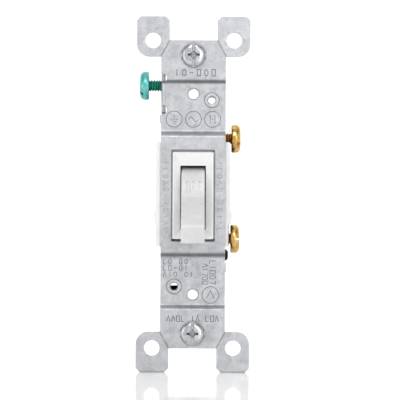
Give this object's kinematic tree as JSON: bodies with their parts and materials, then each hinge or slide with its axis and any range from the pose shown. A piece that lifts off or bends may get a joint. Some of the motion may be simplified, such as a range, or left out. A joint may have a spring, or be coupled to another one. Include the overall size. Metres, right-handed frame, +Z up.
{
  "type": "toggle wall switch",
  "caption": "Single-pole toggle wall switch on a stepped steel mounting strap, with side screw terminals, a ground screw and push-in wire entries at the back.",
  "frame": {"origin": "midway between the two box screws, on the plane of the strap ears' rear faces, which lies on the wall", "axes": "+Z up, towards ON; +X to the right seen from the front; the front faces -Y and the body goes into the wall along +Y"},
  "size_m": [0.034, 0.0394, 0.1066],
  "materials": {
    "zinc_steel": "mottled zinc plating",
    "white_plastic": "satin moulded",
    "toggle_white": "semi-gloss moulded",
    "black_plastic": "satin moulded thermoset",
    "terminal_brass": "stamped",
    "screw_brass": "plated",
    "green_screw": "green passivated",
    "screw_steel": "zinc plated",
    "spring_steel": "drawn wire",
    "spring_bronze": "rolled strip",
    "contact_silver": "silver alloy",
    "fibre": "vulcanised fibre"
  },
  "bodies": {
    "housing": {"strap": "zinc_steel", "front_cover": "white_plastic", "rear_body": "black_plastic", "upper_eyelet": "zinc_steel", "lower_eyelet": "zinc_steel", "upper_retaining_washer": "fibre", "lower_retaining_washer": "fibre", "line_terminal": "terminal_brass", "load_terminal": "terminal_brass", "fixed_contact": "contact_silver", "line_wire_clip": "spring_bronze", "load_wire_clip": "spring_bronze", "contact_arm_pin": "spring_steel", "snap_spring": "spring_steel", "contact_spring": "spring_steel"},
    "toggle": {"toggle": "toggle_white"},
    "spring_cup": {"spring_cup": "white_plastic"},
    "contact_arm": {"contact_arm": "spring_bronze", "moving_contact": "contact_silver"},
    "line_screw": {"line_terminal_screw": "screw_brass"},
    "load_screw": {"load_terminal_screw": "screw_brass"},
    "ground_screw": {"ground_screw": "green_screw"},
    "upper_mounting_screw": {"upper_mounting_screw": "screw_steel"},
    "lower_mounting_screw": {"lower_mounting_screw": "screw_steel"}
  },
  "joints": [
    {"name": "toggle_swing", "type": "hinge", "parent": "housing", "child": "toggle", "pos_m": [0, 0.005, -0.00105], "axis": [-1, 0, 0], "range_deg": [0, 60], "deforming": ["snap_spring", "contact_spring"]},
    {"name": "cup_pivot", "type": "hinge", "parent": "toggle", "child": "spring_cup", "pos_m": [0, 0.01366, 0.00395], "axis": [-1, 0, 0], "range_deg": [-119.5, 0]},
    {"name": "contact_arm_pivot", "type": "hinge", "parent": "housing", "child": "contact_arm", "pos_m": [0, 0.0163, 0.0124], "axis": [-1, 0, 0], "range_deg": [0, 5.3]},
    {"name": "line_screw_travel", "type": "slide", "parent": "housing", "child": "line_screw", "axis": [-1, 0, 0], "range_m": [0, 0.00205]},
    {"name": "load_screw_travel", "type": "slide", "parent": "housing", "child": "load_screw", "axis": [-1, 0, 0], "range_m": [0, 0.00185]},
    {"name": "ground_screw_travel", "type": "slide", "parent": "housing", "child": "ground_screw", "axis": [1, 0, 0], "range_m": [0, 0.0036]},
    {"name": "upper_mounting_screw_turn", "type": "hinge", "parent": "housing", "child": "upper_mounting_screw", "pos_m": [0, 0, 0.04167], "axis": [0, 1, 0], "continuous": true},
    {"name": "lower_mounting_screw_turn", "type": "hinge", "parent": "housing", "child": "lower_mounting_screw", "pos_m": [0, 0, -0.04167], "axis": [0, 1, 0], "continuous": true}
  ],
  "couplings": [
    {"joint": "cup_pivot", "follows": "toggle_swing", "ratio": -1.9833},
    {"joint": "contact_arm_pivot", "follows": "toggle_swing", "ratio": 0.0873}
  ]
}
